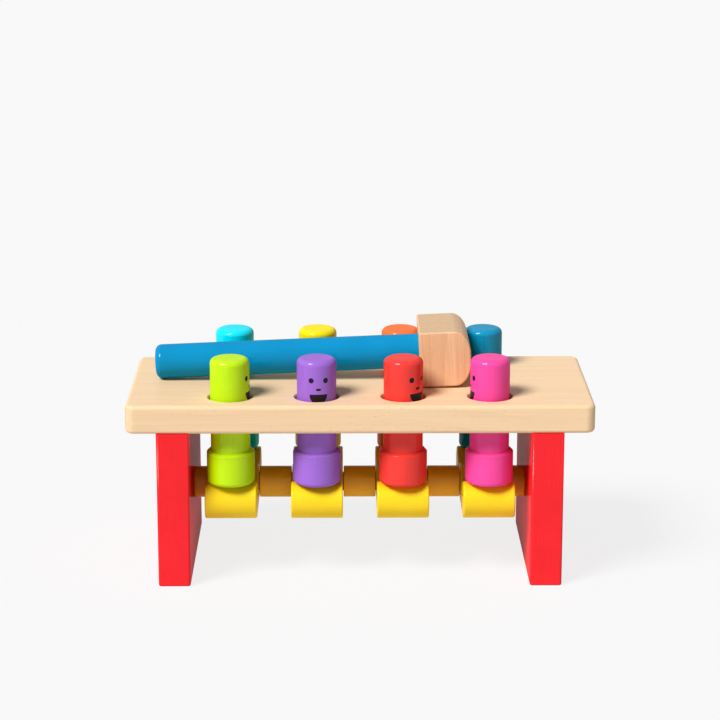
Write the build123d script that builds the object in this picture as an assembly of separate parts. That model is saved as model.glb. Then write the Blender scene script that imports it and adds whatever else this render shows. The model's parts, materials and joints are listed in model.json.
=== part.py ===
from build123d import *
import math
import os

# Wooden pounding bench, in millimetres. The origin lies on the floor, under the middle of the bench.
# X runs along the bench, the front is towards -Y and +Z points up.
# Every pair of pegs, one in front and one behind, stands on its own see-saw rocker.

# Board
board_length = 290.0
board_depth = 126.0
board_thickness = 18.0
board_corner_radius = 6.0
board_edge_radius = 2.5

# Legs: solid end boards as deep as the bench top
leg_height = 99.0
leg_thickness = 20.0
leg_inset = 19.0
leg_edge_radius = 1.5

# Peg holes: two rows, each set in from its long edge of the board, with one column over each rocker
column_count = 4
row_setback = 23.5
hole_diameter = 27.7
hole_rim_chamfer = 0.8

# Pegs: turned in one piece, with a foot that is too wide for the hole
peg_diameter = 24.6
peg_rise = 25.0
peg_top_radius = 3.5
foot_diameter = 30.0
foot_edge_radius = 3.0
shoulder_chamfer = 1.2

# Rockers: waisted see-saws whose round ends are centred on the height of the axle
axle_drop = 49.5
rocker_width = 32.5
rocker_end_radius = 11.5
waist_height = 5.0
rocker_edge_radius = 1.0
rocker_swing = 23.0

# Axle and the spacers that keep the rockers under their pegs
axle_diameter = 12.0
axle_socket_depth = 12.0
end_spacer_length = 8.25
spacer_diameter = 20.0
spacer_edge_chamfer = 0.6

# Hidden dowels between each leg and the board
dowel_count = 3
dowel_diameter = 8.0
dowel_spacing = 42.0
dowel_in_board = 11.0
dowel_in_leg = 22.0
dowel_end_chamfer = 0.8

# Mallet: its head is just shorter than the aisle between the two rows of pegs
head_width = 32.4
head_height = 35.4
head_slack = 1.4
head_nose_reach = 10.5
head_nose_flat = 5.8
head_edge_radius = 1.2
handle_diameter = 21.8
handle_reach = 168.0
handle_in_head = 22.0
handle_end_radius = 4.0
socket_end_chamfer = 1.0

# Clearances
running_gap = 0.1
glue_gap = 0.05
seat_gap = 0.3
side_gap = 0.5
stop_gap = 0.3
bore_end_gap = 0.5
mallet_gap = 0.5
cut_overrun = 2.0

# Heights and places that follow from the sizes above
board_top = leg_height + board_thickness
axle_height = leg_height - axle_drop
arm = board_depth / 2 - row_setback
peg_bottom = axle_height + rocker_end_radius + seat_gap
peg_length = board_top + peg_rise - peg_bottom
peg_lift = arm * math.radians(rocker_swing)
foot_height = leg_height - stop_gap - peg_lift - peg_bottom
leg_outer = board_length / 2 - leg_inset
leg_inner = leg_outer - leg_thickness
leg_middle = (leg_outer + leg_inner) / 2
outer_column = leg_inner - end_spacer_length - side_gap - rocker_width / 2
column_pitch = 2 * outer_column / (column_count - 1)
columns = [column_pitch * i - outer_column for i in range(column_count)]
head_length = 2 * arm - peg_diameter - head_slack


def rounded_block(length, depth, height, corner_radius, edge_radius):
    """A block standing on z = 0 with rounded upright corners and eased edges."""
    outline = RectangleRounded(length, depth, corner_radius)
    block = extrude(outline, height)
    flats = block.faces().sort_by(Axis.Z)
    return fillet(flats[0].edges() + flats[-1].edges(), edge_radius)


def rod(diameter, length, end_chamfer):
    """A dowel along +Z from z = 0 with both ends chamfered."""
    body = Cylinder(diameter / 2, length, align=(Align.CENTER, Align.CENTER, Align.MIN))
    return chamfer(body.edges().filter_by(GeomType.CIRCLE), end_chamfer)


def dowel_rows():
    """Y places of the dowels in one leg joint."""
    return [dowel_spacing * (i - (dowel_count - 1) / 2) for i in range(dowel_count)]


def bench_top():
    """Board with the peg holes and, underneath, blind holes for the leg dowels."""
    board = rounded_block(board_length, board_depth, board_thickness, board_corner_radius, board_edge_radius)
    board = Pos(0, 0, leg_height) * board
    hole_radius = hole_diameter / 2
    flare = hole_radius + hole_rim_chamfer + cut_overrun
    flare_height = hole_rim_chamfer + cut_overrun
    for x in columns:
        for y in (-arm, arm):
            hole = Cylinder(hole_radius, board_thickness + cut_overrun)
            board -= Pos(x, y, leg_height + board_thickness / 2) * hole
            top_flare = Cone(hole_radius, flare, flare_height)
            board -= Pos(x, y, board_top - hole_rim_chamfer + flare_height / 2) * top_flare
            low_flare = Cone(flare, hole_radius, flare_height)
            board -= Pos(x, y, leg_height + hole_rim_chamfer - flare_height / 2) * low_flare
    for x in (-leg_middle, leg_middle):
        for y in dowel_rows():
            depth = dowel_in_board + bore_end_gap
            bore = Cylinder(dowel_diameter / 2 + glue_gap, depth)
            board -= Pos(x, y, leg_height + depth / 2) * bore
    return board


def leg(side):
    """End leg; side is -1 on the left and 1 on the right."""
    block = Box(leg_thickness, board_depth, leg_height, align=(Align.CENTER, Align.CENTER, Align.MIN))
    uprights = block.edges().filter_by(Axis.Z)
    feet = block.faces().sort_by(Axis.Z)[0].edges()
    block = fillet(uprights + feet, leg_edge_radius)
    for y in dowel_rows():
        depth = dowel_in_leg + bore_end_gap
        bore = Cylinder(dowel_diameter / 2 + glue_gap, depth)
        block -= Pos(0, y, leg_height - depth / 2) * bore
    block = Pos(side * leg_middle, 0, 0) * block
    socket_length = axle_socket_depth + bore_end_gap
    socket = Cylinder(axle_diameter / 2 + glue_gap, socket_length)
    socket_x = side * (leg_inner + socket_length / 2)
    return block - Pos(socket_x, 0, axle_height) * Rot(0, 90, 0) * socket


def leg_dowels(side):
    """The glued dowels of one leg joint, half in the leg and half in the board."""
    pin = rod(dowel_diameter, dowel_in_board + dowel_in_leg, dowel_end_chamfer)
    low_end = leg_height - dowel_in_leg
    return Compound(children=[Pos(side * leg_middle, y, low_end) * pin for y in dowel_rows()])


def rocker_axle():
    """Dowel from leg to leg, through all the rockers and spacers."""
    length = 2 * (leg_inner + axle_socket_depth)
    dowel = rod(axle_diameter, length, dowel_end_chamfer)
    return Pos(-length / 2, 0, axle_height) * Rot(0, 90, 0) * dowel


def spacer(start, end):
    """Sleeve on the axle between two places along X."""
    sleeve = Cylinder(spacer_diameter / 2, end - start)
    sleeve = chamfer(sleeve.edges().filter_by(GeomType.CIRCLE), spacer_edge_chamfer)
    sleeve -= Cylinder(axle_diameter / 2 + glue_gap, end - start + cut_overrun)
    return Pos((start + end) / 2, 0, axle_height) * Rot(0, 90, 0) * sleeve


def rocker_outline():
    """Side outline of a rocker about its pivot: flat below, round at both ends, waisted beside the hub.

    The waist is a hollow arc that meets the hub and the end circle without a corner, so a tilted
    rocker never touches the flat foot of a peg anywhere but on its round end.
    """
    end_radius = rocker_end_radius
    tip = arm + end_radius
    half = arm / 2
    hollow = (half ** 2 + waist_height ** 2 - end_radius ** 2) / (2 * (end_radius - waist_height))
    reach = end_radius + hollow
    lean_x = end_radius * half / reach
    lean_z = end_radius * (hollow + waist_height) / reach
    edge_x = arm - lean_x
    with BuildLine() as line:
        Line((-arm, -end_radius), (arm, -end_radius))
        for side in (-1, 1):
            ThreePointArc((side * arm, -end_radius), (side * tip, 0), (side * edge_x, lean_z))
            ThreePointArc((side * edge_x, lean_z), (side * half, waist_height), (side * lean_x, lean_z))
        ThreePointArc((-lean_x, lean_z), (0, end_radius), (lean_x, lean_z))
    return make_face(line.edges())


def rocker(x):
    """One see-saw, level, with the round hole that turns on the axle."""
    block = extrude(Plane.YZ * rocker_outline(), rocker_width / 2, both=True)
    sides = block.faces().sort_by(Axis.X)
    block = fillet(sides[0].edges() + sides[-1].edges(), rocker_edge_radius)
    bore = Cylinder(axle_diameter / 2 + running_gap, rocker_width + cut_overrun)
    block -= Rot(0, 90, 0) * bore
    return Pos(x, 0, axle_height) * block


def peg(x, y):
    """Turned peg: rounded top, straight shank and a wide foot that rests on the rocker."""
    shank_radius = peg_diameter / 2
    foot_radius = foot_diameter / 2
    with BuildSketch(Plane.XZ) as half:
        with BuildLine():
            Polyline(
                (0, 0),
                (foot_radius, 0),
                (foot_radius, foot_height - shoulder_chamfer),
                (foot_radius - shoulder_chamfer, foot_height),
                (shank_radius, foot_height),
                (shank_radius, peg_length),
                (0, peg_length),
                close=True,
            )
        make_face()
        outer = half.vertices().filter_by(lambda v: v.X > 0).sort_by(Axis.Y)
        fillet(outer[0], foot_edge_radius)
        outer = half.vertices().filter_by(lambda v: v.X > 0).sort_by(Axis.Y)
        fillet(outer[-1], peg_top_radius)
    return Pos(x, y, peg_bottom) * revolve(half.sketch, Axis.Z)


def mallet_tilt():
    """Angle of the mallet on the board, lying on the end of its handle and a lower edge of its head."""
    drop = (head_height - handle_diameter) / 2
    return math.degrees(math.atan(drop / (handle_reach - handle_end_radius)))


def lay_mallet(piece):
    """Moves a mallet piece from its own frame to the board, between the two rows.

    In its own frame the handle lies along X, and the origin is where the handle enters the head.
    The head stands between the last two columns, just in front of the back pegs.
    """
    tilt = math.radians(mallet_tilt())
    half_span = (head_width * math.cos(tilt) + head_height * math.sin(tilt)) / 2
    aisle = (columns[-1] + columns[-2]) / 2
    to_peg = column_pitch / 2 - half_span
    chord = math.sqrt(max(0, (peg_diameter / 2) ** 2 - to_peg ** 2))
    x = aisle - head_width / 2 * math.cos(tilt)
    y = arm - chord - mallet_gap - head_length / 2
    z = board_top + seat_gap + head_height / 2 * math.cos(tilt)
    return Pos(x, y, z) * Rot(0, -mallet_tilt(), 0) * piece


def mallet_head():
    """Wood block, square where the handle enters, with a nose that ends in two quarters of an ellipse."""
    nose_start = head_width - head_nose_reach
    nose_drop = (head_height - head_nose_flat) / 2
    top = head_height / 2
    low_middle = (nose_start, -head_nose_flat / 2)
    high_middle = (nose_start, head_nose_flat / 2)
    with BuildSketch(Plane.XZ) as side:
        with BuildLine():
            Polyline((nose_start, top), (0, top), (0, -top), (nose_start, -top))
            EllipticalCenterArc(low_middle, head_nose_reach, nose_drop, start_angle=-90, arc_size=90)
            Line((head_width, -head_nose_flat / 2), (head_width, head_nose_flat / 2))
            EllipticalCenterArc(high_middle, head_nose_reach, nose_drop, start_angle=0, arc_size=90)
        make_face()
        fillet(side.vertices().sort_by(Axis.X)[:2], head_edge_radius)
    block = extrude(side.sketch, head_length / 2, both=True)
    ends = block.faces().sort_by(Axis.Y)
    block = fillet(ends[0].edges() + ends[-1].edges(), head_edge_radius)
    depth = handle_in_head + bore_end_gap
    bore = Rot(0, 90, 0) * Cylinder(handle_diameter / 2 + glue_gap, depth)
    return lay_mallet(block - Pos(depth / 2, 0, 0) * bore)


def mallet_handle():
    """Dowel glued into the head, with a well rounded free end."""
    bar = Cylinder(handle_diameter / 2, handle_reach + handle_in_head)
    rims = bar.edges().filter_by(GeomType.CIRCLE).sort_by(Axis.Z)
    bar = fillet(rims[0], handle_end_radius)
    bar = chamfer(bar.edges().filter_by(GeomType.CIRCLE).sort_by(Axis.Z)[-1], socket_end_chamfer)
    return lay_mallet(Pos((handle_in_head - handle_reach) / 2, 0, 0) * Rot(0, 90, 0) * bar)


def all_spacers():
    """Two end spacers against the legs, and one between each two neighbouring rockers."""
    reach = rocker_width / 2 + side_gap
    starts = [-leg_inner] + [x + reach for x in columns]
    ends = [x - reach for x in columns] + [leg_inner]
    return [spacer(start, end) for start, end in zip(starts, ends)]


def build_parts():
    """Every piece by the name of its node."""
    parts = {
        "bench_top": bench_top(),
        "left_leg": leg(-1),
        "right_leg": leg(1),
        "left_leg_dowels": leg_dowels(-1),
        "right_leg_dowels": leg_dowels(1),
        "rocker_axle": rocker_axle(),
    }
    for number, sleeve in enumerate(all_spacers(), start=1):
        parts[f"axle_spacer_{number}"] = sleeve
    for number, x in enumerate(columns, start=1):
        parts[f"rocker_{number}"] = rocker(x)
    for colour, x in zip(("green", "purple", "red", "pink"), columns):
        parts[f"{colour}_peg"] = peg(x, -arm)
    for colour, x in zip(("cyan", "yellow", "orange", "blue"), columns):
        parts[f"{colour}_peg"] = peg(x, arm)
    parts["mallet_head"] = mallet_head()
    parts["mallet_handle"] = mallet_handle()
    return parts


os.makedirs("parts", exist_ok=True)
for name, shape in build_parts().items():
    export_step(shape, f"parts/{name}.step")
print("foot height", round(foot_height, 2), "peg length", round(peg_length, 2))
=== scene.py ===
import bmesh
import bpy
import json
import math
import numpy as np
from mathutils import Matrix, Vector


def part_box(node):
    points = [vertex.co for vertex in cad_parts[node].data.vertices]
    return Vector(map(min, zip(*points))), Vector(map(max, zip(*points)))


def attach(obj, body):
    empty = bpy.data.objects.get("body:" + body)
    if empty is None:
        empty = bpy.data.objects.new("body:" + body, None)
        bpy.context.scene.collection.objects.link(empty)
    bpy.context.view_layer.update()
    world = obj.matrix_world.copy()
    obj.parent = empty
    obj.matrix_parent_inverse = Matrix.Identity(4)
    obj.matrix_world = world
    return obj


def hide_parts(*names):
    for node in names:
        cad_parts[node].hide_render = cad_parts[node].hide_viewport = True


# Wooden pounding bench: painted pegs over four see-saw rockers, with the mallet lying on the board.
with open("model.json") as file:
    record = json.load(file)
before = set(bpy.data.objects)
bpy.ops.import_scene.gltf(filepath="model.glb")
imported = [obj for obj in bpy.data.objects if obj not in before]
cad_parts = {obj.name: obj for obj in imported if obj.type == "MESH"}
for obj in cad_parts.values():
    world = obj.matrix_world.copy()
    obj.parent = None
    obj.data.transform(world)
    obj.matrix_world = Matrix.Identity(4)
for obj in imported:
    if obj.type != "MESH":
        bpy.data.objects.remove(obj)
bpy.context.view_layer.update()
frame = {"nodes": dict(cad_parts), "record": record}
nodes = frame["nodes"]
mm = 0.001
bodyOf = {name: body for body, names in frame["record"]["behaviour"]["bodies"].items() for name in names}


def linear(red, green, blue):
    # the sRGB curve undone: below 0.04045 a straight line, above it a power of 2.4
    shares = [value / 255 for value in (red, green, blue)]
    return tuple(s / 12.92 if s <= 0.04045 else ((s + 0.055) / 1.055) ** 2.4 for s in shares) + (1.0,)


def shaded(colour, share):
    return tuple(value * share for value in colour[:3]) + (1.0,)


# node helpers

def addNode(tree, kind, inputs=None, **settings):
    node = tree.nodes.new(kind)
    for key, value in settings.items():
        setattr(node, key, value)
    for key, value in (inputs or {}).items():
        if isinstance(value, bpy.types.NodeSocket):
            tree.links.new(value, node.inputs[key])
        else:
            node.inputs[key].default_value = value
    return node


def calc(tree, operation, a, b=0.0, c=0.0):
    return addNode(tree, "ShaderNodeMath", {0: a, 1: b, 2: c}, operation=operation).outputs[0]


def between(tree, value, low, high, newLow=0.0, newHigh=1.0):
    # smooth step of a value between two limits
    span = {"Value": value, "From Min": low, "From Max": high, "To Min": newLow, "To Max": newHigh}
    return addNode(tree, "ShaderNodeMapRange", span, interpolation_type="SMOOTHSTEP").outputs[0]


def blendColour(tree, factor, first, second, kind="MIX"):
    node = addNode(tree, "ShaderNodeMix", data_type="RGBA", blend_type=kind)
    for index, value in ((0, factor), (6, first), (7, second)):
        if isinstance(value, bpy.types.NodeSocket):
            tree.links.new(value, node.inputs[index])
        else:
            node.inputs[index].default_value = value
    return node.outputs[2]


def noise(tree, vector, scale, detail=2.0, roughness=0.5):
    inputs = {"Vector": vector, "Scale": scale, "Detail": detail, "Roughness": roughness}
    return addNode(tree, "ShaderNodeTexNoise", inputs).outputs["Fac"]


def newMaterial(name):
    material = bpy.data.materials.new(name)
    material.use_nodes = True
    return material, material.node_tree, material.node_tree.nodes["Principled BSDF"]


def mapped(tree, vector, changes, kind="POINT"):
    # a vector scaled, then turned, then shifted
    return addNode(tree, "ShaderNodeMapping", {"Vector": vector, **changes}, vector_type=kind).outputs[0]


def grainSpace(tree, turn, shift):
    # object coordinates in millimetres, turned so that the grain runs along the third of them
    place = addNode(tree, "ShaderNodeTexCoord").outputs["Object"]
    scaled = mapped(tree, place, {"Scale": (1 / mm, 1 / mm, 1 / mm)})
    return mapped(tree, scaled, {"Rotation": turn, "Location": shift})


def stretched(tree, vector, across, along):
    return mapped(tree, vector, {"Scale": (across, across, along)})


def grainNoise(tree, space, scales, detail=2.0, roughness=0.5):
    # noise with its own scale across and along the grain
    return noise(tree, stretched(tree, space, *scales), 1.0, detail, roughness)


def amount(tree, value, step, depth):
    # how much of a colour goes on: a smooth step of a pattern, times its depth
    return calc(tree, "MULTIPLY", between(tree, value, *step), depth)


# bare wood
woodPattern = {
    "slow": (0.022, 0.0045),  # these five are scales in cells per millimetre, across and along the grain
    "waver": (0.11, 0.012),
    "fibre": (2.4, 0.045),
    "tone": (0.05, 0.008),
    "patch": (0.3, 0.03),
    "streakAlong": 0.014,  # a streak's scale along the grain, as a share of its scale across
    "lateFrom": 0.15,  # where in a ring the late wood sets in
    "lateTo": 0.93,  # and where it breaks off
    "poreStep": (0.1, 0.24),
    "patchStep": (0.42, 0.62),
    "streakStep": (0.42, 0.72),
    "fibreStep": (0.35, 0.7),
    "toneStep": (0.3, 0.7),
    "cutStep": (0.76, 0.97),
    "fibreRough": 0.12,
    "poreRough": 0.08,
    "poreHeight": -0.8,
    "ringHeight": 0.25,
    "bump": 0.5,
    "coatRoughness": 0.3,
}


def alongGrain(tree, turn):
    # how far a face looks along the grain: the size of its normal's share in that direction
    facing = addNode(tree, "ShaderNodeTexCoord").outputs["Normal"]
    turnedFacing = mapped(tree, facing, {"Rotation": turn}, "VECTOR")
    share = addNode(tree, "ShaderNodeSeparateXYZ", {0: turnedFacing}).outputs[2]
    return calc(tree, "ABSOLUTE", share)


def woodMaterial(name, look):
    # growth rings are the distance from the tree's middle, warped by slow noise and cut into saw teeth;
    # fibres are noise drawn out along the grain, pores are the middles of long thin Voronoi cells, and a face
    # cut across the grain, whose normal runs along it, is darker
    pattern = woodPattern
    material, tree, shader = newMaterial(name)
    space = grainSpace(tree, look["turn"], look["heart"])
    part = addNode(tree, "ShaderNodeSeparateXYZ", {0: space})
    slow = grainNoise(tree, space, pattern["slow"])
    waver = grainNoise(tree, space, pattern["waver"])
    square = calc(tree, "ADD", calc(tree, "MULTIPLY", part.outputs[0], part.outputs[0]),
                  calc(tree, "MULTIPLY", part.outputs[1], part.outputs[1]))
    radius = calc(tree, "SQRT", square)
    radius = calc(tree, "MULTIPLY_ADD", slow, look["warp"], radius)
    radius = calc(tree, "MULTIPLY_ADD", waver, look["waver"], radius)
    ring = calc(tree, "FRACT", calc(tree, "DIVIDE", radius, look["ringWidth"]))
    rise = between(tree, ring, pattern["lateFrom"], pattern["lateTo"])
    fall = between(tree, ring, pattern["lateTo"], 1.0, 1.0, 0.0)
    late = calc(tree, "MULTIPLY", rise, fall)
    fibre = grainNoise(tree, space, pattern["fibre"], 4.0, 0.62)
    streakScales = (look["streakScale"], look["streakScale"] * pattern["streakAlong"])
    streak = grainNoise(tree, space, streakScales, 3.0, 0.55)
    tone = grainNoise(tree, space, pattern["tone"])
    poreSpace = stretched(tree, space, 1 / look["poreWide"], 1 / look["poreLong"])
    cells = addNode(tree, "ShaderNodeTexVoronoi", {"Vector": poreSpace, "Scale": 1.0})
    pore = between(tree, cells.outputs["Distance"], *pattern["poreStep"], 1.0, 0.0)
    patchy = between(tree, grainNoise(tree, space, pattern["patch"]), *pattern["patchStep"])
    pore = calc(tree, "MULTIPLY", pore, patchy)
    colour = blendColour(tree, calc(tree, "MULTIPLY", late, look["ringDepth"]), look["pale"], look["late"])
    streakAmount = amount(tree, streak, pattern["streakStep"], look["streakDepth"])
    colour = blendColour(tree, streakAmount, colour, look["streak"])
    fibreAmount = amount(tree, fibre, pattern["fibreStep"], look["fibreDepth"])
    colour = blendColour(tree, fibreAmount, colour, look["late"])
    colour = blendColour(tree, calc(tree, "MULTIPLY", pore, look["poreDepth"]), colour, look["pore"])
    toneAmount = amount(tree, tone, pattern["toneStep"], look["toneDepth"])
    colour = blendColour(tree, toneAmount, colour, look["tone"])
    cut = between(tree, alongGrain(tree, look["turn"]), *pattern["cutStep"], 0.0, look["endDepth"])
    colour = blendColour(tree, cut, colour, look["end"], "MULTIPLY")
    tree.links.new(colour, shader.inputs["Base Color"])
    rough = calc(tree, "MULTIPLY_ADD", fibre, pattern["fibreRough"], look["roughness"])
    rough = calc(tree, "MULTIPLY_ADD", pore, pattern["poreRough"], rough)
    tree.links.new(rough, shader.inputs["Roughness"])
    height = calc(tree, "MULTIPLY_ADD", late, pattern["ringHeight"], fibre)
    height = calc(tree, "MULTIPLY_ADD", pore, pattern["poreHeight"], height)
    relief = {"Height": height, "Strength": pattern["bump"], "Distance": look["relief"] * mm}
    tree.links.new(addNode(tree, "ShaderNodeBump", relief).outputs[0], shader.inputs["Normal"])
    shader.inputs["Specular IOR Level"].default_value = look["gloss"]
    shader.inputs["Coat Weight"].default_value = look["coat"]
    shader.inputs["Coat Roughness"].default_value = pattern["coatRoughness"]
    return material


# gloss paint on wood
paintPattern = {
    "cloud": 0.055,  # scales in cells per millimetre
    "ripple": 0.35,
    "peel": 2.2,
    "fibre": (1.4, 0.035),  # across and along the grain
    "cloudStep": (0.3, 0.7),
    "fibreStep": (0.45, 0.75),
    "cloudRough": 0.1,
    "peelHeight": 0.15,
    "bump": 0.35,
}


def paintMaterial(name, look):
    # an even colour with faint clouds, the wood's fibres just showing through, and the slow ripple and fine
    # peel of a dipped coat; the clear coat alone carries the gloss
    pattern = paintPattern
    material, tree, shader = newMaterial(name)
    space = grainSpace(tree, look["turn"], look["shift"])
    cloud = noise(tree, space, pattern["cloud"], 3.0)
    fibre = grainNoise(tree, space, pattern["fibre"], 4.0, 0.6)
    ripple = noise(tree, space, pattern["ripple"], 1.0)
    peel = noise(tree, space, pattern["peel"], 1.0)
    colour = blendColour(tree, between(tree, cloud, *pattern["cloudStep"]), look["deep"], look["colour"])
    fibreAmount = amount(tree, fibre, pattern["fibreStep"], look["fibreDepth"])
    colour = blendColour(tree, fibreAmount, colour, look["fibre"])
    tree.links.new(colour, shader.inputs["Base Color"])
    rough = calc(tree, "MULTIPLY_ADD", cloud, pattern["cloudRough"], look["roughness"])
    tree.links.new(rough, shader.inputs["Roughness"])
    height = calc(tree, "MULTIPLY_ADD", peel, pattern["peelHeight"], ripple)
    height = calc(tree, "MULTIPLY_ADD", fibre, look["grain"], height)
    relief = {"Height": height, "Strength": pattern["bump"], "Distance": look["relief"] * mm}
    tree.links.new(addNode(tree, "ShaderNodeBump", relief).outputs[0], shader.inputs["Normal"])
    shader.inputs["Specular IOR Level"].default_value = look["gloss"]
    shader.inputs["Coat Weight"].default_value = look["coat"]
    shader.inputs["Coat Roughness"].default_value = look["coatRoughness"]
    shader.inputs["Coat IOR"].default_value = look["coatIndex"]
    return material


def paintLook(colour, turn=(0, 0, 0), shift=(0, 0, 0), **changes):
    look = {
        "colour": colour,
        "deep": shaded(colour, 0.93),
        "fibre": shaded(colour, 0.84),
        "fibreDepth": 0.5,
        "roughness": 0.45,
        "gloss": 0.0,
        "coat": 0.2,
        "coatRoughness": 0.1,
        "coatIndex": 1.8,
        "grain": 0.5,
        "relief": 0.03,
        "turn": turn,
        "shift": shift,
    }
    look.update(changes)
    return look


# shapes, worked out in millimetres

def easedPath(corners, radii, closed=False, steps=7):
    # straight runs with an arc at each inner corner: its middle lies on the bisector, and its points are that
    # middle plus the radius times a slerp between the two radial directions, which are also the normals,
    # turned round where the corner is hollow; the path goes anticlockwise round its solid
    corners = np.array(corners, float)
    if closed:
        corners = np.vstack([corners[-1:], corners, corners[:1]])
    radii = np.array(radii, float)[:, None]
    back = corners[:-2] - corners[1:-1]
    ahead = corners[2:] - corners[1:-1]
    back /= np.linalg.norm(back, axis=1, keepdims=True)
    ahead /= np.linalg.norm(ahead, axis=1, keepdims=True)
    half = np.arccos((back * ahead).sum(1, keepdims=True)) / 2
    middle = back + ahead
    middle *= radii / np.sin(half) / np.linalg.norm(middle, axis=1, keepdims=True)
    reach = radii / np.tan(half)
    first = (back * reach - middle) / radii
    last = (ahead * reach - middle) / radii
    sweep = (math.pi - 2 * half)[:, None]
    share = np.linspace(0, 1, steps)[None, :, None]
    radial = np.sin((1 - share) * sweep) * first[:, None] + np.sin(share * sweep) * last[:, None]
    radial = radial / np.sin(sweep)
    points = (corners[1:-1] + middle)[:, None] + radii[:, None] * radial
    side = np.sign(ahead[:, 0] * back[:, 1] - ahead[:, 1] * back[:, 0])[:, None, None]
    points, normals = points.reshape(-1, 2), (radial * side).reshape(-1, 2)
    if closed:
        return points, normals
    return np.vstack([corners[:1], points, corners[-1:]]), np.vstack([normals[:1], normals, normals[-1:]])


def gridFaces(grid):
    # four-sided faces between neighbours in both directions of a grid of vertex numbers
    corners = [grid[:-1, :-1], grid[:-1, 1:], grid[1:, 1:], grid[1:, :-1]]
    return np.stack(corners, -1).reshape(-1, 4).tolist()


def turned(path, normals, origin, axis, closed=False, spokes=96):
    # a path turned about an axis: every point is the origin, plus its height along the axis, plus its
    # distance times cosine and sine of the angle; an open path starts and ends on the axis
    axis = np.array(axis, float)
    third = np.array([0.0, 1.0, 0.0])
    side = np.cross(third, axis)
    angle = np.linspace(0, 2 * math.pi, spokes, endpoint=False)[:, None]
    circle = np.cos(angle) * side + np.sin(angle) * third
    inner = slice(None) if closed else slice(1, -1)
    rows = path[inner, 0, None, None] * circle + path[inner, 1, None, None] * axis + origin
    facing = normals[inner, 0, None, None] * circle + normals[inner, 1, None, None] * axis
    count = len(rows)
    grid = np.arange(count * spokes).reshape(count, spokes)
    around = np.hstack([grid, grid[:, :1]])
    points, facing = rows.reshape(-1, 3), facing.reshape(-1, 3)
    if closed:
        return points, gridFaces(np.vstack([around, around[:1]])), facing
    tips = count * spokes + np.arange(2)
    near, far = around[0], around[-1]
    low = np.stack([np.full(spokes, tips[0]), near[1:], near[:-1]], -1).tolist()
    high = np.stack([np.full(spokes, tips[1]), far[:-1], far[1:]], -1).tolist()
    points = np.vstack([points, path[0, 1] * axis + origin, path[-1, 1] * axis + origin])
    facing = np.vstack([facing, -axis, axis])
    return points, gridFaces(around) + low + high, facing


def arc(middle, radius, start, end, steps, hollow=False):
    # points of a circle between two angles in degrees, without the last, and the normals away from the solid
    angle = np.radians(np.linspace(start, end, steps, endpoint=False))
    radial = np.stack([np.cos(angle), np.sin(angle)], 1)
    return np.array(middle) + radius * radial, -radial if hollow else radial


def carried(outline, normals, width, edge, steps=6):
    # a closed outline in Y and Z carried along X: near both sides it shrinks along its own normals by the
    # edge radius times one minus the cosine, while X grows by the radius times the sine of the same angle
    angle = np.linspace(0, math.pi / 2, steps)
    inset = edge * (1 - np.cos(angle))
    out = width / 2 - edge + edge * np.sin(angle)
    inset = np.concatenate([inset[::-1], inset])
    across = np.concatenate([-out[::-1], out])
    lean = np.concatenate([-np.sin(angle[::-1]), np.sin(angle)])
    flat = outline[:, None] - normals[:, None] * inset[None, :, None]
    points = np.concatenate([np.broadcast_to(across[None, :, None], flat.shape[:2] + (1,)), flat], -1)
    facing = normals[:, None] * np.sqrt(1 - lean ** 2)[None, :, None]
    facing = np.concatenate([np.broadcast_to(lean[None, :, None], flat.shape[:2] + (1,)), facing], -1)
    grid = np.arange(points.shape[0] * points.shape[1]).reshape(points.shape[:2])
    faces = [face[::-1] for face in gridFaces(np.vstack([grid, grid[:1]]))]
    return points.reshape(-1, 3), faces, facing.reshape(-1, 3), grid


def newPiece(name, parts, material, node, stands=True):
    # one mesh from parts of points, faces and, where they are known, normals; it rides with its node's body
    points, faces, facing, count = [], [], [], 0
    for part in parts:
        points.append(part[0])
        faces += [[index + count for index in face] for face in part[1]]
        facing += [part[2]] if len(part) > 2 else []
        count += len(part[0])
    mesh = bpy.data.meshes.new(name)
    mesh.from_pydata((np.concatenate(points) * mm).tolist(), [], faces)
    mesh.shade_smooth()
    if facing:
        facing = np.concatenate(facing)
        facing /= np.linalg.norm(facing, axis=1, keepdims=True)
        mesh.normals_split_custom_set_from_vertices(facing.tolist())
    mesh.materials.append(material)
    piece = bpy.data.objects.new(name, mesh)
    bpy.context.scene.collection.objects.link(piece)
    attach(piece, bodyOf[node])
    if stands:
        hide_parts(node)


def readAll(items, key, width=1, kind=float):
    values = np.empty(len(items) * width, kind)
    items.foreach_get(key, values)
    return values.reshape(-1, width) if width > 1 else values


copyLook = {
    "merge": 0.002,  # points nearer than this become one
    "softest": math.radians(35),  # a sharper turn than this stays an edge
    "leastFlat": 220.0,  # a flat of this many square millimetres keeps its own normal
    "sameFacing": 0.002,  # faces are on one plane when their normals, and their offsets, round to the same
    "sameOffset": 0.02,
}


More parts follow.
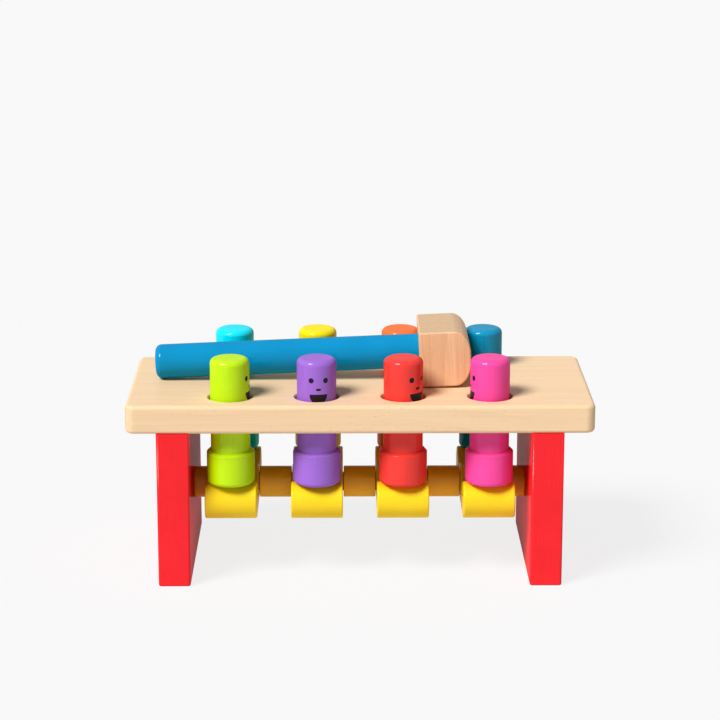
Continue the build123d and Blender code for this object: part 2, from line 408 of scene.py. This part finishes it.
def flatThenRound(mesh, look):
    # normals for every corner: faces are sorted by plane, which is their normal and its dot product with the
    # face's middle, and a plane with enough area keeps its own normal; a curved face that runs into it
    # without an edge takes that normal over at the shared points, and elsewhere the smooth normal stays
    facing = readAll(mesh.polygons, "normal", 3)
    offset = (facing * readAll(mesh.polygons, "center", 3)).sum(1, keepdims=True)
    key = np.round(np.hstack([facing / look["sameFacing"], offset / (look["sameOffset"] * mm)]))
    plane = np.unique(key, axis=0, return_inverse=True)[1].ravel()
    area = np.bincount(plane, readAll(mesh.polygons, "area"))
    corner = readAll(mesh.loops, "vertex_index", kind=int)
    face = np.repeat(np.arange(len(facing)), readAll(mesh.polygons, "loop_total", kind=int))
    normals = readAll(mesh.corner_normals, "vector", 3)
    for index in np.flatnonzero(area > look["leastFlat"] * mm * mm):
        inPlane = plane == index
        across = facing[inPlane].mean(0)
        touched = np.zeros(len(mesh.vertices), bool)
        touched[corner[inPlane[face]]] = True
        near = facing[face] @ across > math.cos(look["softest"])
        normals[inPlane[face] | (touched[corner] & near)] = across / np.linalg.norm(across)
    mesh.normals_split_custom_set(normals.tolist())


def smoothCopy(name, material, node):
    # the node's own shape with its doubles merged, curved faces shaded smooth and flat ones kept flat
    mesh = nodes[node].data.copy()
    mesh.name = name
    work = bmesh.new()
    work.from_mesh(mesh)
    bmesh.ops.remove_doubles(work, verts=work.verts, dist=copyLook["merge"] * mm)
    work.to_mesh(mesh)
    work.free()
    mesh.materials.clear()
    mesh.materials.append(material)
    mesh.shade_smooth()
    mesh.set_sharp_from_angle(angle=copyLook["softest"])
    flatThenRound(mesh, copyLook)
    piece = bpy.data.objects.new(name, mesh)
    bpy.context.scene.collection.objects.link(piece)
    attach(piece, bodyOf[node])
    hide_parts(node)


def dress(name, material):
    # a node that keeps its own mesh, with a better material
    mesh = nodes[name].data
    mesh.materials.clear()
    mesh.materials.append(material)


quarter = math.pi / 2
alongX = (0, -quarter, 0)  # turns the grain, third in a pattern's space, onto the bench's length
alongY = (quarter, 0, 0)
alongZ = (0, 0, 0)

# board
boardLook = {
    "turn": alongX,
    "heart": (58, 12, 40),
    "ringWidth": 6.6,
    "warp": 30.0,
    "waver": 3.2,
    "pale": linear(243, 211, 171),
    "late": linear(224, 186, 142),
    "streak": linear(230, 192, 150),
    "pore": linear(196, 156, 114),
    "tone": linear(240, 204, 162),
    "end": (0.84, 0.8, 0.76, 1),
    "endDepth": 0.7,
    "ringDepth": 0.22,
    "streakScale": 0.42,
    "streakDepth": 0.26,
    "fibreDepth": 0.3,
    "poreDepth": 0.5,
    "poreWide": 0.95,
    "poreLong": 5.5,
    "toneDepth": 0.3,
    "roughness": 0.42,
    "relief": 0.03,
    "gloss": 0.1,
    "coat": 0.08,
}
smoothCopy("board", woodMaterial("boardWood", boardLook), "bench_top")
print("board made")

# legs
legLook = paintLook(linear(248, 36, 44), alongZ, coat=0.15, coatRoughness=0.16, relief=0.04)
legPaint = paintMaterial("legRed", legLook)
smoothCopy("leftLeg", legPaint, "left_leg")
smoothCopy("rightLeg", legPaint, "right_leg")
print("legs made")

# see-saw rockers
rockerLook = {
    "paint": paintLook(linear(254, 215, 30), alongY, coat=0.2, coatRoughness=0.14),
    "arm": 39.5,  # from the pivot to the middle of each round end
    "endRadius": 11.5,
    "waist": 5.0,
    "width": 32.5,
    "edge": 1.0,
    "bore": 6.1,
    "boreEdge": 0.3,
    "endSteps": 40,
    "hollowSteps": 24,
    "hubSteps": 16,
    "boreSteps": 48,
}


def rockerOutline(look):
    # flat below; a circle at each end and at the hub, joined by hollow arcs that touch them without a corner:
    # the hollow radius follows from the arc's lowest point and from the distance between the middles
    radius, waist, half = look["endRadius"], look["waist"], look["arm"] / 2
    hollow = (half ** 2 + waist ** 2 - radius ** 2) / (2 * (radius - waist))
    lean = math.degrees(math.atan2(hollow + waist, half))
    parts = [
        arc((look["arm"], 0), radius, -90, 180 - lean, look["endSteps"]),
        arc((half, hollow + waist), hollow, -lean, lean - 180, look["hollowSteps"], hollow=True),
        arc((0, 0), radius, lean, 180 - lean, look["hubSteps"]),
        arc((-half, hollow + waist), hollow, -lean, lean - 180, look["hollowSteps"], hollow=True),
        arc((-look["arm"], 0), radius, lean, 270, look["endSteps"]),
        (np.array([[-look["arm"], -radius]]), np.array([[0.0, -1.0]])),
    ]
    return [np.concatenate(both) for both in zip(*parts)]


def rockerShape(look, middle):
    # outside and bore are carried outlines; each side is closed by an upper and a lower face round the bore
    outline, normals = rockerOutline(look)
    angle = np.linspace(0, 2 * math.pi, look["boreSteps"], endpoint=False)
    circle = np.stack([np.cos(angle), -np.sin(angle)], 1)
    halfway = look["boreSteps"] // 2
    points, faces, facing, grid = carried(outline, normals, look["width"], look["edge"])
    borePoints, boreFaces, boreFacing, boreGrid = carried(
        look["bore"] * circle, -circle, look["width"], look["boreEdge"], 3)
    right, left = int(outline[:, 0].argmax()), int(outline[:, 0].argmin())
    boreGrid = boreGrid + len(points)
    faces = faces + [[index + len(points) for index in face] for face in boreFaces]
    for column, order in ((-1, 1), (0, -1)):
        outer, inner = grid[:, column], boreGrid[:, column]
        top = np.concatenate([outer[right:left + 1], inner[halfway:], inner[:1]])
        bottom = np.concatenate([outer[left:], outer[:right + 1], inner[:halfway + 1]])
        faces += [top[::order].tolist(), bottom[::order].tolist()]
    return np.vstack([points, borePoints]) + middle, faces, np.vstack([facing, boreFacing])


rockerPaint = paintMaterial("rockerYellow", rockerLook["paint"])
for number in range(1, 5):
    node = f"rocker_{number}"
    low, high = (np.array(corner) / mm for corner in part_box(node))
    middle = np.array([(low[0] + high[0]) / 2, 0, high[2] - rockerLook["endRadius"]])
    newPiece(f"rocker{number}", [rockerShape(rockerLook, middle)], rockerPaint, node)
print("rockers made")

# axle, its spacers and the hidden dowels
# the spacers get the rockers' yellow made deeper and more orange: painted shade, for the shade they sit in
# under the board
spacerLook = {
    "paint": paintLook(linear(254, 186, 22), alongX, coat=0.2, coatRoughness=0.16),
    "radius": 10.0,
    "bore": 6.05,
    "edge": 0.6,
    "boreEdge": 0.3,
}
spacerPaintWithPaintedShade = paintMaterial("spacerYellowPaintedShade", spacerLook["paint"])
for number in range(1, 6):
    node = f"axle_spacer_{number}"
    low, high = (np.array(corner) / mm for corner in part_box(node))
    middle = (low + high) / 2
    half = (high[0] - low[0]) / 2
    corners = [(spacerLook["bore"], -half), (spacerLook["radius"], -half),
               (spacerLook["radius"], half), (spacerLook["bore"], half)]
    radii = [spacerLook["boreEdge"], spacerLook["edge"], spacerLook["edge"], spacerLook["boreEdge"]]
    path, normals = easedPath(corners, radii, closed=True, steps=5)
    shape = turned(path, normals, middle, (1, 0, 0), closed=True)
    newPiece(f"spacer{number}", [shape], spacerPaintWithPaintedShade, node)
dowelLook = {
    **boardLook,
    "heart": (3, 2, 0),
    "ringWidth": 1.6,
    "warp": 2.0,
    "waver": 0.4,
    "pale": linear(238, 206, 164),
    "roughness": 0.55,
    "coat": 0.0,
}
dress("rocker_axle", woodMaterial("dowelWood", dowelLook))
uprightDowelWood = woodMaterial("uprightDowelWood", dict(dowelLook, turn=alongZ))
dress("left_leg_dowels", uprightDowelWood)
dress("right_leg_dowels", uprightDowelWood)
print("axle made")

# pegs: paint colour, and the way the printed face looks in degrees from the front towards the right
pegLook = {
    "green": {"paint": linear(194, 238, 8), "faces": 82},
    "purple": {"paint": linear(160, 106, 212), "faces": 6},
    "red": {"paint": linear(246, 62, 54), "faces": 45},
    "pink": {"paint": linear(252, 74, 162), "faces": -81},
    "cyan": {"paint": linear(0, 234, 254), "faces": 12},
    "yellow": {"paint": linear(254, 232, 0), "faces": -18},
    "orange": {"paint": linear(250, 118, 52), "faces": 30},
    "blue": {"paint": linear(0, 146, 190), "faces": 155},
}
pegShape = {
    "shank": 12.3,
    "foot": 15.0,
    "footHeight": 21.54,
    "shoulder": 1.2,
    "topRadius": 3.5,
    "footEdge": 3.0,
    "softEdge": 0.6,
    "puddle": 0.35,  # paint gathered in the corner over the foot
    "heart": (1.5, 2.0),  # from the peg's middle to the tree's
    "grainStep": 37.0,  # sets each peg's grain off from the next one's, by the letters in its colour's name
}
faceLook = {
    "ink": linear(30, 20, 25),
    "worn": 1.4,  # how much paler the ink is where it is worn
    "speck": 1400.0,  # specks to a metre
    "speckStep": (0.35, 0.75),
    "roughness": 0.28,
    "speckRough": 0.2,
    "gloss": 0.12,
    "thickness": 0.05,  # how proud the print stands, in millimetres like the rest
    "eyeReach": 4.6,
    "eyeWide": 1.62,
    "eyeHigh": 1.7,
    "eyeDown": 12.0,  # from the peg's top to the middle of the eyes
    "noseDown": 17.7,
    "noseWide": 1.6,
    "noseHigh": 0.72,
    "mouthDown": 20.8,
    "mouthWide": 5.7,
    "mouthHigh": 6.5,
    "mouthDrop": 0.42,  # from the mouth's upper edge to its outline's middle, as a share of its half width
    "mouthCorner": 30.0,  # higher is sharper
}


def discOutline(wide, high, power=2.0):
    # distance from the middle for each direction, at which the two shares, raised to the power, add up to one
    def reach(angle):
        shares = np.abs(np.cos(angle) / wide) ** power + np.abs(np.sin(angle) / high) ** power
        return shares ** (-1 / power)
    return reach


def smileOutline(wide, high, drop, corner):
    # lower half of an ellipse hanging from a level line, seen from a middle below that line; the reach to the
    # curve is the root of a quadratic, and a power mean joins it to the reach to the line, which rounds the
    # corners

    def reach(angle):
        up = np.maximum(np.sin(angle), 1e-4)
        toLine = drop / up
        bend = (np.cos(angle) / wide) ** 2 + (np.sin(angle) / high) ** 2
        pull = drop * np.sin(angle) / high ** 2
        toCurve = (pull + np.sqrt(pull ** 2 + bend * (1 - (drop / high) ** 2))) / bend
        return (toLine ** -corner + toCurve ** -corner) ** (-1 / corner)
    return reach


def printedShape(centre, radius, turn, across, height, outline, thickness, rings=12, spokes=64):
    # a thin pill lying on a cylinder: its outline is given in polar form, and its first parameter runs from
    # the outer middle over the rim to the inner middle and sets the share of the outline, while the height
    # falls off as the root of one minus that share's sixth power; the sideways measure is wrapped round the
    # cylinder as arc length
    share = np.linspace(0, 1, rings)[1:]
    share = np.concatenate([share, share[-2::-1]])[:, None]
    proud = thickness * np.sqrt(1 - share ** 6) * np.sign(np.arange(len(share)) - rings + 2)[:, None] * -1
    angle = np.linspace(0, 2 * math.pi, spokes, endpoint=False)[None, :]
    spread = share * outline(angle)
    sideways = np.concatenate([[0.0], (spread * np.cos(angle)).ravel(), [0.0]]) + across
    upward = np.concatenate([[0.0], (spread * np.sin(angle)).ravel(), [0.0]]) + height
    offset = np.concatenate([[thickness], (proud * np.ones_like(angle)).ravel(), [-thickness]])
    around = turn + sideways / radius
    reach = radius + offset
    points = np.stack([centre[0] + reach * np.sin(around), centre[1] - reach * np.cos(around), upward], 1)
    inner = len(share)
    grid = 1 + np.arange(inner * spokes).reshape(inner, spokes)
    after = np.roll(grid, -1, axis=1)
    walls = np.stack([grid[:-1], grid[1:], after[1:], after[:-1]], -1).reshape(-1, 4).tolist()
    top = np.stack([np.zeros(spokes, int), grid[0], after[0]], -1).tolist()
    bottom = np.stack([np.full(spokes, inner * spokes + 1), after[-1], grid[-1]], -1).tolist()
    return points, top + walls + bottom


def inkMaterial(name, look):
    # printing ink: nearly black, a little broken by the roller, less glossy than the paint under it
    material, tree, shader = newMaterial(name)
    place = addNode(tree, "ShaderNodeTexCoord").outputs["Object"]
    speck = noise(tree, place, look["speck"], 3.0)
    worn = between(tree, speck, *look["speckStep"])
    colour = blendColour(tree, worn, look["ink"], shaded(look["ink"], look["worn"]))
    tree.links.new(colour, shader.inputs["Base Color"])
    rough = calc(tree, "MULTIPLY_ADD", speck, look["speckRough"], look["roughness"])
    tree.links.new(rough, shader.inputs["Roughness"])
    shader.inputs["Specular IOR Level"].default_value = look["gloss"]
    return material


def pegParts(look, low, high):
    # the turned outline from the foot up: eased foot, sloping shoulder, straight shank, well rounded top
    length = high[2] - low[2]
    corners = [(0, 0), (look["foot"], 0), (look["foot"], look["footHeight"] - look["shoulder"]),
               (look["foot"] - look["shoulder"], look["footHeight"]), (look["shank"], look["footHeight"]),
               (look["shank"], length), (0, length)]
    radii = [look["footEdge"], look["softEdge"], look["softEdge"], look["puddle"], look["topRadius"]]
    path, normals = easedPath(corners, radii)
    origin = np.array([(low[0] + high[0]) / 2, (low[1] + high[1]) / 2, low[2]])
    return turned(path, normals, origin, (0, 0, 1))


def faceParts(look, centre, shank, turn, top):
    # two eyes, a nose and a mouth, all measured down from the peg's top
    drop = look["mouthDrop"] * look["mouthWide"]
    smile = smileOutline(look["mouthWide"], look["mouthHigh"], drop, look["mouthCorner"])
    eye = discOutline(look["eyeWide"], look["eyeHigh"])
    nose = discOutline(look["noseWide"], look["noseHigh"], 3.0)
    thin = look["thickness"]
    return [
        printedShape(centre, shank, turn, -look["eyeReach"], top - look["eyeDown"], eye, thin),
        printedShape(centre, shank, turn, look["eyeReach"], top - look["eyeDown"], eye, thin),
        printedShape(centre, shank, turn, 0.0, top - look["noseDown"], nose, thin),
        printedShape(centre, shank, turn, 0.0, top - look["mouthDown"] - drop, smile, thin, 14, 96),
    ]


ink = inkMaterial("faceInk", faceLook)
for colourName, look in pegLook.items():
    node = f"{colourName}_peg"
    low, high = (np.array(corner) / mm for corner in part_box(node))
    centre = (low + high) / 2
    shift = (*(pegShape["heart"] - centre[:2]), pegShape["grainStep"] * len(colourName))
    paint = paintMaterial(f"{colourName}Paint", paintLook(look["paint"], alongZ, shift))
    newPiece(f"{colourName}Peg", [pegParts(pegShape, low, high)], paint, node)
    faces = faceParts(faceLook, centre, pegShape["shank"], math.radians(look["faces"]), high[2])
    newPiece(f"{colourName}PegFace", faces, ink, node, stands=False)
print("pegs made")

# mallet: its own frame starts where the handle enters the head
malletLook = {
    "tilt": math.radians(2.3743),
    "start": (37.8139, 5.4522, 134.9848),
    "handleRadius": 10.9,
    "handleReach": 168.0,
    "handleInHead": 22.0,
    "endRadius": 4.0,
    "socketEdge": 1.0,
}
headLook = {
    "turn": (0, malletLook["tilt"], 0),
    "heart": (-44, 62, 0),
    "ringWidth": 5.6,
    "warp": 9.0,
    "waver": 1.2,
    "pale": linear(246, 203, 158),
    "late": linear(214, 162, 116),
    "streak": linear(222, 168, 122),
    "pore": linear(176, 120, 80),
    "tone": linear(236, 188, 142),
    "end": (0.78, 0.85, 0.9, 1),
    "endDepth": 1.0,
    "ringDepth": 0.45,
    "streakScale": 0.8,
    "streakDepth": 0.6,
    "fibreDepth": 0.5,
    "poreDepth": 0.65,
    "poreWide": 0.9,
    "poreLong": 7.0,
    "toneDepth": 0.35,
    "roughness": 0.46,
    "relief": 0.035,
    "gloss": 0.2,
    "coat": 0.05,
}
smoothCopy("malletHead", woodMaterial("headWood", headLook), "mallet_head")
handleLook = paintLook(linear(0, 142, 196), (0, malletLook["tilt"] - quarter, 0), fibreDepth=0.6, coat=0.12)
handleCorners = [(0, -malletLook["handleReach"]), (malletLook["handleRadius"], -malletLook["handleReach"]),
                 (malletLook["handleRadius"], malletLook["handleInHead"]), (0, malletLook["handleInHead"])]
path, normals = easedPath(handleCorners, [malletLook["endRadius"], malletLook["socketEdge"]], steps=9)
handleAxis = (math.cos(malletLook["tilt"]), 0, math.sin(malletLook["tilt"]))
handle = turned(path, normals, np.array(malletLook["start"]), handleAxis)
newPiece("malletHandle", [handle], paintMaterial("handleBlue", handleLook), "mallet_handle")
print("mallet made")

# floor, world, lamps and camera
studioLook = {
    "floorSide": 28.0,  # metres
    "floor": 0.74,
    "mottle": 60.0,
    "mottleDim": 0.995,
    "floorRoughness": 0.9,
    "floorWhite": (0.97, 0.97, 0.97, 1),
    "floorShow": 0.85,  # share of that white in what the camera and gloss see of the floor
    "background": linear(249, 249, 249),
    "worldLight": 0.16,
    "keyFrom": (-0.475, -0.465, 0.748),
    "keyStrength": 3.86,
    "keyWidth": 24.0,
}


def seenRays(tree):
    # one for what the eye, gloss and glass see, zero for light that falls on the bench
    rays = addNode(tree, "ShaderNodeLightPath")
    seen = calc(tree, "MAXIMUM", rays.outputs["Is Camera Ray"], rays.outputs["Is Glossy Ray"])
    return calc(tree, "MAXIMUM", seen, rays.outputs["Is Transmission Ray"])


def makeFloor(look):
    mesh = bpy.data.meshes.new("floor")
    half = look["floorSide"] / 2
    corners = [(-half, -half, 0), (half, -half, 0), (half, half, 0), (-half, half, 0)]
    mesh.from_pydata(corners, [], [(0, 1, 2, 3)])
    floor = bpy.data.objects.new("floor", mesh)
    bpy.context.scene.collection.objects.link(floor)
    material, tree, shader = newMaterial("floorPaper")
    place = addNode(tree, "ShaderNodeTexCoord").outputs["Object"]
    mottle = noise(tree, place, look["mottle"], 3.0)
    pale = (look["floor"], look["floor"], look["floor"], 1)
    dim = shaded(pale, look["mottleDim"])
    tree.links.new(blendColour(tree, mottle, dim, pale), shader.inputs["Base Color"])
    shader.inputs["Roughness"].default_value = look["floorRoughness"]
    shader.inputs["Specular IOR Level"].default_value = 0.0
    plain = addNode(tree, "ShaderNodeEmission", {"Color": look["floorWhite"], "Strength": 1.0})
    share = calc(tree, "MULTIPLY", seenRays(tree), look["floorShow"])
    mixed = addNode(tree, "ShaderNodeMixShader", {0: share, 1: shader.outputs[0], 2: plain.outputs[0]})
    tree.links.new(mixed.outputs[0], tree.nodes["Material Output"].inputs["Surface"])
    mesh.materials.append(material)


def makeWorld(look):
    # what the eye, gloss and glass see is the white background; what lights the bench is a dimmer white
    world = bpy.data.worlds.new("studio")
    world.use_nodes = True
    tree = world.node_tree
    tree.nodes.clear()
    light = addNode(tree, "ShaderNodeBackground", {"Color": (1, 1, 1, 1), "Strength": look["worldLight"]})
    backdrop = addNode(tree, "ShaderNodeBackground", {"Color": look["background"], "Strength": 1.0})
    both = {0: seenRays(tree), 1: light.outputs[0], 2: backdrop.outputs[0]}
    mixed = addNode(tree, "ShaderNodeMixShader", both)
    addNode(tree, "ShaderNodeOutputWorld", {"Surface": mixed.outputs[0]})
    bpy.context.scene.world = world


def addSun(name, source, strength, width):
    # an unturned lamp shines straight down, so it is tilted by the source's angle from the upright and then
    # turned round to the source's side
    lamp = bpy.data.lights.new(name, "SUN")
    lamp.energy = strength
    lamp.angle = math.radians(width)
    sun = bpy.data.objects.new(name, lamp)
    x, y, z = source
    sun.rotation_euler = (0, math.atan2(math.hypot(x, y), z), math.atan2(y, x))
    bpy.context.scene.collection.objects.link(sun)


makeFloor(studioLook)
makeWorld(studioLook)
addSun("keySun", studioLook["keyFrom"], studioLook["keyStrength"], studioLook["keyWidth"])

cameraLook = {
    "place": (-0.01127, -1.48483, 0.50864),
    "down": 0.2496,
    "aside": -0.0078,
    "focalPixels": 2403.49,
    "imagePixels": 720,
    "sensor": 36.0,
}
lens = bpy.data.cameras.new("camera")
lens.sensor_width = cameraLook["sensor"]
lens.lens = cameraLook["focalPixels"] / cameraLook["imagePixels"] * lens.sensor_width
camera = bpy.data.objects.new("camera", lens)
camera.location = cameraLook["place"]
camera.rotation_euler = (quarter - cameraLook["down"], 0, cameraLook["aside"])
bpy.context.scene.collection.objects.link(camera)
bpy.context.scene.camera = camera
bpy.context.scene.view_settings.view_transform = "Standard"
print("studio set")
